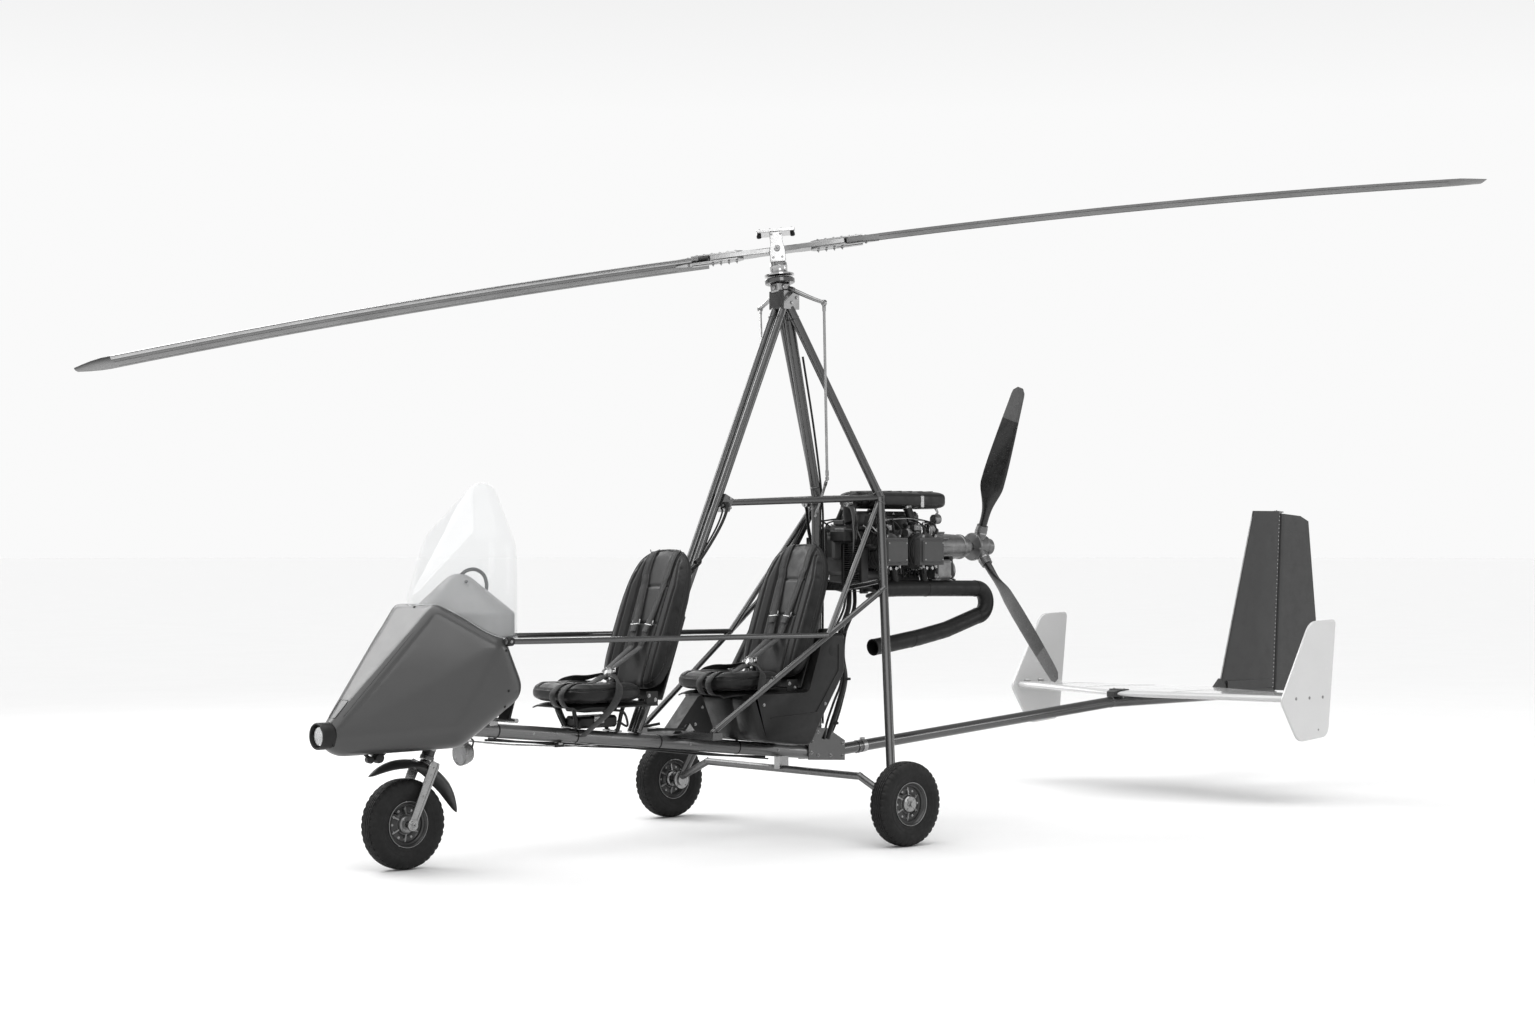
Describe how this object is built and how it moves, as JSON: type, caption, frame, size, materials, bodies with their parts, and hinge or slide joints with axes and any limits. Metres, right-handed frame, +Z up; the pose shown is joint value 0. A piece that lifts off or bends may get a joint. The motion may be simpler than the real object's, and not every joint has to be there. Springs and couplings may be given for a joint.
{
  "type": "two-seat open gyrocopter",
  "caption": "Open-frame gyrocopter with two seats in tandem, a pusher propeller behind the mast, a free-turning rotor, three-wheel gear and a twin-plate tail.",
  "frame": {"origin": "on the ground, under the middle of the machine's overall box", "axes": "+X forward to the nose, +Y to the machine's left, +Z up"},
  "size_m": [7.1203, 4.8698, 3.2459],
  "materials": {
    "frame_paint": "satin graphite",
    "keel_alloy": "satin anodised",
    "steel": "machined",
    "tyre": "worn tread",
    "rim": "cast, satin",
    "pod_paint": "gloss",
    "tail_paint": "gloss",
    "white_paint": "gloss",
    "clear_screen": "clear",
    "lamp": "polished",
    "black_plastic": "matt",
    "seat_fabric": "woven",
    "engine_metal": "cast",
    "airbox_alloy": "brushed",
    "exhaust_metal": "matt black",
    "prop_composite": "carbon",
    "rotor_skin": "gloss"
  },
  "bodies": {
    "airframe": {"keel": "keel_alloy", "tail_boom": "frame_paint", "keel_end_plates": "frame_paint", "front_mast": "frame_paint", "rear_mast_post": "frame_paint", "mast_head": "frame_paint", "mast_bracket": "frame_paint", "left_main_leg": "frame_paint", "right_main_leg": "frame_paint", "upper_frame": "frame_paint", "mast_braces": "frame_paint", "side_rails": "frame_paint", "seat_crossbar": "frame_paint", "cross_axle": "keel_alloy", "axle_bracket": "steel", "stub_axles": "steel", "steering_neck": "steel", "pod_shell": "pod_paint", "instrument_cowl": "pod_paint", "windshield": "clear_screen", "lamps": "lamp", "front_seat_shell": "black_plastic", "rear_seat_shell": "black_plastic", "front_seat_cushion": "seat_fabric", "front_seat_back": "seat_fabric", "rear_seat_cushion": "seat_fabric", "rear_seat_back": "seat_fabric", "fuel_tank": "black_plastic", "engine": "engine_metal", "engine_mount": "steel", "airbox": "airbox_alloy", "exhaust": "exhaust_metal", "rotor_head": "steel", "control_rods": "steel", "stabiliser": "white_paint", "end_plates": "white_paint", "fin": "tail_paint", "rudder_hinge": "steel"},
    "left_wheel": {"left_tyre": "tyre", "left_rim": "rim"},
    "right_wheel": {"right_tyre": "tyre", "right_rim": "rim"},
    "nose_wheel": {"nose_tyre": "tyre", "nose_rim": "rim"},
    "nose_gear": {"nose_fork": "keel_alloy", "nose_fender": "black_plastic"},
    "propeller": {"propeller_hub": "keel_alloy", "propeller_blades": "prop_composite"},
    "rotor_mount": {"rotor_tower": "keel_alloy"},
    "rotor": {"hub_bar": "keel_alloy", "rotor_blades": "rotor_skin"},
    "rudder_panel": {"rudder": "tail_paint"}
  },
  "joints": [
    {"name": "left_wheel_spin", "type": "hinge", "parent": "airframe", "child": "left_wheel", "pos_m": [0.86, 0.8665, 0.2], "axis": [0, 1, 0], "continuous": true},
    {"name": "right_wheel_spin", "type": "hinge", "parent": "airframe", "child": "right_wheel", "pos_m": [0.86, -0.8665, 0.2], "axis": [0, 1, 0], "continuous": true},
    {"name": "nose_steering", "type": "hinge", "parent": "airframe", "child": "nose_gear", "pos_m": [2.978, 0, 0.5], "axis": [-0.342, 0, 0.9397], "range_deg": [-30, 30]},
    {"name": "nose_wheel_spin", "type": "hinge", "parent": "nose_gear", "child": "nose_wheel", "pos_m": [3.11, 0, 0.2], "axis": [0, 1, 0], "continuous": true},
    {"name": "propeller_spin", "type": "hinge", "parent": "airframe", "child": "propeller", "pos_m": [-0.552, 0, 1.406], "axis": [-1, 0, 0], "continuous": true},
    {"name": "rotor_spin", "type": "hinge", "parent": "airframe", "child": "rotor_mount", "pos_m": [0.869, -0.02115, 2.88361], "axis": [0, -0.1305, 0.9914], "continuous": true},
    {"name": "rotor_teeter", "type": "hinge", "parent": "rotor_mount", "child": "rotor", "pos_m": [0.869, -0.02115, 2.88361], "axis": [0.6691, 0.7368, 0.097], "range_deg": [-9.6, 4.4]},
    {"name": "rudder_turn", "type": "hinge", "parent": "airframe", "child": "rudder_panel", "pos_m": [-3.141, 0, 0.539], "axis": [-0.0663, 0, 0.9978], "range_deg": [-25, 25]}
  ]
}
